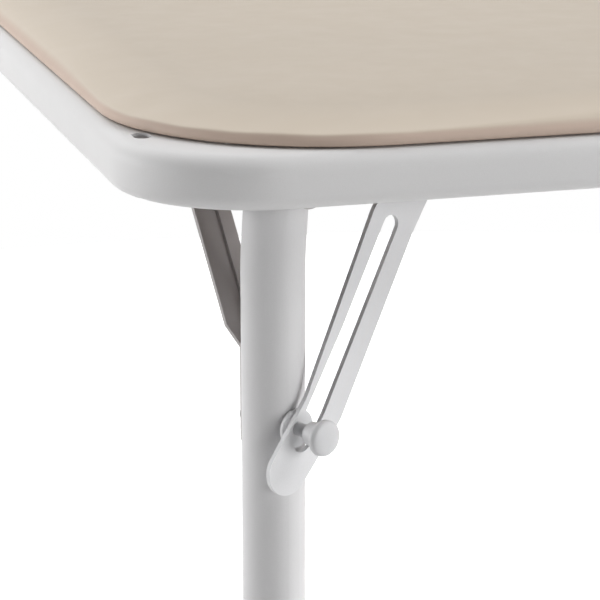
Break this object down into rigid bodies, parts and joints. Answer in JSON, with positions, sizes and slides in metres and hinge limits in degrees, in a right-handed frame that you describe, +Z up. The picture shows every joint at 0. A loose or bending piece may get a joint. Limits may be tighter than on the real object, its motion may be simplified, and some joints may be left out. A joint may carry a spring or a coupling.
{
  "type": "folding card table",
  "caption": "Square folding card table: padded vinyl top in a round-cornered steel frame, on tube legs that fold under the top and lock with slotted braces.",
  "frame": {"origin": "middle of the open table on the floor plane", "axes": "+X along the front rail to the right, +Y to the back, +Z up"},
  "size_m": [0.864, 0.864, 0.711],
  "materials": {
    "frame_paint": "satin powder coat, pale grey",
    "leg_paint": "satin powder coat, pale grey",
    "fitting_paint": "satin paint over pressed steel",
    "fastener": "painted rivets and washers",
    "vinyl": "beige vinyl with a fine grain",
    "foam": "thin open foam",
    "board": "brown hardboard",
    "steel": "plain steel",
    "foot": "pale grey moulded cap"
  },
  "bodies": {
    "table_top": {"perimeter_frame": "frame_paint", "panel_board": "board", "foam_pad": "foam", "vinyl_cover": "vinyl", "panel_screws": "steel", "hinge_bracket_front_left": "fitting_paint", "strut_bracket_front_left": "fitting_paint", "hinge_rod_front_left": "steel", "hinge_spacer_front_left": "steel", "hinge_bracket_front_right": "fitting_paint", "strut_bracket_front_right": "fitting_paint", "hinge_rod_front_right": "steel", "hinge_spacer_front_right": "steel", "hinge_bracket_back_right": "fitting_paint", "strut_bracket_back_right": "fitting_paint", "hinge_rod_back_right": "steel", "hinge_spacer_back_right": "steel", "hinge_bracket_back_left": "fitting_paint", "strut_bracket_back_left": "fitting_paint", "hinge_rod_back_left": "steel", "hinge_spacer_back_left": "steel"},
    "leg_front_left": {"leg_tube_front_left": "leg_paint", "leg_foot_front_left": "foot", "hinge_strut_front_left": "fitting_paint", "lock_stud_front_left": "fastener"},
    "washer_front_left": {"stud_washer_front_left": "fastener"},
    "brace_front_left": {"lock_brace_front_left": "fitting_paint", "brace_rivet_front_left": "fastener"},
    "leg_front_right": {"leg_tube_front_right": "leg_paint", "leg_foot_front_right": "foot", "hinge_strut_front_right": "fitting_paint", "lock_stud_front_right": "fastener"},
    "washer_front_right": {"stud_washer_front_right": "fastener"},
    "brace_front_right": {"lock_brace_front_right": "fitting_paint", "brace_rivet_front_right": "fastener"},
    "leg_back_right": {"leg_tube_back_right": "leg_paint", "leg_foot_back_right": "foot", "hinge_strut_back_right": "fitting_paint", "lock_stud_back_right": "fastener"},
    "washer_back_right": {"stud_washer_back_right": "fastener"},
    "brace_back_right": {"lock_brace_back_right": "fitting_paint", "brace_rivet_back_right": "fastener"},
    "leg_back_left": {"leg_tube_back_left": "leg_paint", "leg_foot_back_left": "foot", "hinge_strut_back_left": "fitting_paint", "lock_stud_back_left": "fastener"},
    "washer_back_left": {"stud_washer_back_left": "fastener"},
    "brace_back_left": {"lock_brace_back_left": "fitting_paint", "brace_rivet_back_left": "fastener"}
  },
  "joints": [
    {"name": "leg_fold_front_left", "type": "hinge", "parent": "table_top", "child": "leg_front_left", "pos_m": [-0.37038, -0.39697, 0.684], "axis": [0.4226, -0.9063, 0], "range_deg": [0, 90]},
    {"name": "brace_turn_front_left", "type": "hinge", "parent": "leg_front_left", "child": "washer_front_left", "pos_m": [-0.3726, -0.398, 0.5864], "axis": [0.4226, -0.9063, 0], "range_deg": [0, 34.4]},
    {"name": "brace_slide_front_left", "type": "slide", "parent": "washer_front_left", "child": "brace_front_left", "axis": [-0.4823, -0.2249, -0.8466], "range_m": [0, 0.0807]},
    {"name": "leg_fold_front_right", "type": "hinge", "parent": "table_top", "child": "leg_front_right", "pos_m": [0.39697, -0.37038, 0.684], "axis": [0.9063, 0.4226, 0], "range_deg": [0, 90]},
    {"name": "brace_turn_front_right", "type": "hinge", "parent": "leg_front_right", "child": "washer_front_right", "pos_m": [0.398, -0.3726, 0.5864], "axis": [0.9063, 0.4226, 0], "range_deg": [0, 34.4]},
    {"name": "brace_slide_front_right", "type": "slide", "parent": "washer_front_right", "child": "brace_front_right", "axis": [0.2249, -0.4823, -0.8466], "range_m": [0, 0.0807]},
    {"name": "leg_fold_back_right", "type": "hinge", "parent": "table_top", "child": "leg_back_right", "pos_m": [0.37038, 0.39697, 0.684], "axis": [-0.4226, 0.9063, 0], "range_deg": [0, 90]},
    {"name": "brace_turn_back_right", "type": "hinge", "parent": "leg_back_right", "child": "washer_back_right", "pos_m": [0.3726, 0.398, 0.5864], "axis": [-0.4226, 0.9063, 0], "range_deg": [0, 34.4]},
    {"name": "brace_slide_back_right", "type": "slide", "parent": "washer_back_right", "child": "brace_back_right", "axis": [0.4823, 0.2249, -0.8466], "range_m": [0, 0.0807]},
    {"name": "leg_fold_back_left", "type": "hinge", "parent": "table_top", "child": "leg_back_left", "pos_m": [-0.39697, 0.37038, 0.684], "axis": [-0.9063, -0.4226, 0], "range_deg": [0, 90]},
    {"name": "brace_turn_back_left", "type": "hinge", "parent": "leg_back_left", "child": "washer_back_left", "pos_m": [-0.398, 0.3726, 0.5864], "axis": [-0.9063, -0.4226, 0], "range_deg": [0, 34.4]},
    {"name": "brace_slide_back_left", "type": "slide", "parent": "washer_back_left", "child": "brace_back_left", "axis": [-0.2249, 0.4823, -0.8466], "range_m": [0, 0.0807]}
  ],
  "couplings": [
    {"joint": "brace_turn_front_left", "follows": "leg_fold_front_left", "ratio": 0.38161},
    {"joint": "brace_slide_front_left", "follows": "leg_fold_front_left", "m_per_rad": 0.051357},
    {"joint": "brace_turn_front_right", "follows": "leg_fold_front_right", "ratio": 0.38161},
    {"joint": "brace_slide_front_right", "follows": "leg_fold_front_right", "m_per_rad": 0.051357},
    {"joint": "brace_turn_back_right", "follows": "leg_fold_back_right", "ratio": 0.38161},
    {"joint": "brace_slide_back_right", "follows": "leg_fold_back_right", "m_per_rad": 0.051357},
    {"joint": "brace_turn_back_left", "follows": "leg_fold_back_left", "ratio": 0.38161},
    {"joint": "brace_slide_back_left", "follows": "leg_fold_back_left", "m_per_rad": 0.051357}
  ]
}
